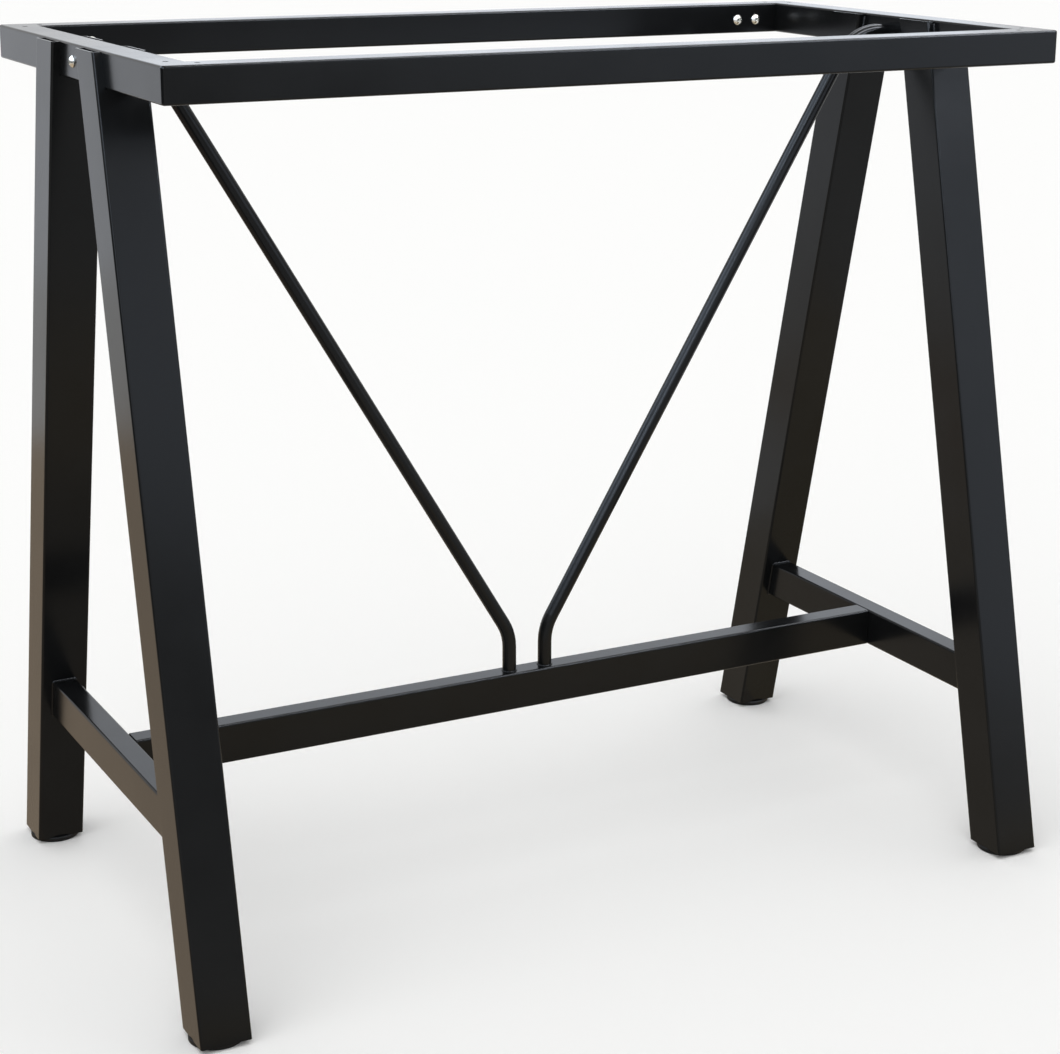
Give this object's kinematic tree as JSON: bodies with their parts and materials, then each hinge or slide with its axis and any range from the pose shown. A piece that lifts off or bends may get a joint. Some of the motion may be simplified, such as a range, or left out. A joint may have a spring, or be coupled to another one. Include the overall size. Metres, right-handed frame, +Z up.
{
  "type": "trestle table base",
  "caption": "Bar-height trestle table base of black steel tube: a mitred top frame on splayed A-frame legs, tied by crossbars, a low stretcher and bent brace rods.",
  "frame": {"origin": "on the floor, under the middle of the top frame", "axes": "+X along the table's length, +Y across it towards the back, +Z up"},
  "size_m": [1.163, 0.6852, 1.068],
  "materials": {
    "powder_coat": "satin black powder coat on welded steel tube",
    "zinc_bolts": "bright zinc plate",
    "plain_steel": "plain steel, hidden inside the tubes",
    "black_plastic": "moulded, matt"
  },
  "bodies": {
    "root": {"end_beam_left": "powder_coat", "end_beam_right": "powder_coat", "long_beam_front": "powder_coat", "long_beam_back": "powder_coat", "corner_insert_front_left": "plain_steel", "corner_insert_back_left": "plain_steel", "corner_insert_front_right": "plain_steel", "corner_insert_back_right": "plain_steel", "leg_front_left": "powder_coat", "leg_front_right": "powder_coat", "leg_back_left": "powder_coat", "leg_back_right": "powder_coat", "foot_plate_front_left": "powder_coat", "foot_plate_front_right": "powder_coat", "foot_plate_back_left": "powder_coat", "foot_plate_back_right": "powder_coat", "foot_pad_front_left": "black_plastic", "foot_pad_front_right": "black_plastic", "foot_pad_back_left": "black_plastic", "foot_pad_back_right": "black_plastic", "foot_studs": "zinc_bolts", "crossbar_left": "powder_coat", "crossbar_right": "powder_coat", "stretcher": "powder_coat", "stretcher_insert_left": "plain_steel", "stretcher_insert_right": "plain_steel", "brace_rod_left": "powder_coat", "brace_rod_right": "powder_coat", "rod_bolts": "zinc_bolts", "beam_bolts": "zinc_bolts", "beam_nuts": "plain_steel", "stretcher_bolts": "zinc_bolts", "stretcher_nuts": "plain_steel"}
  },
  "joints": []
}
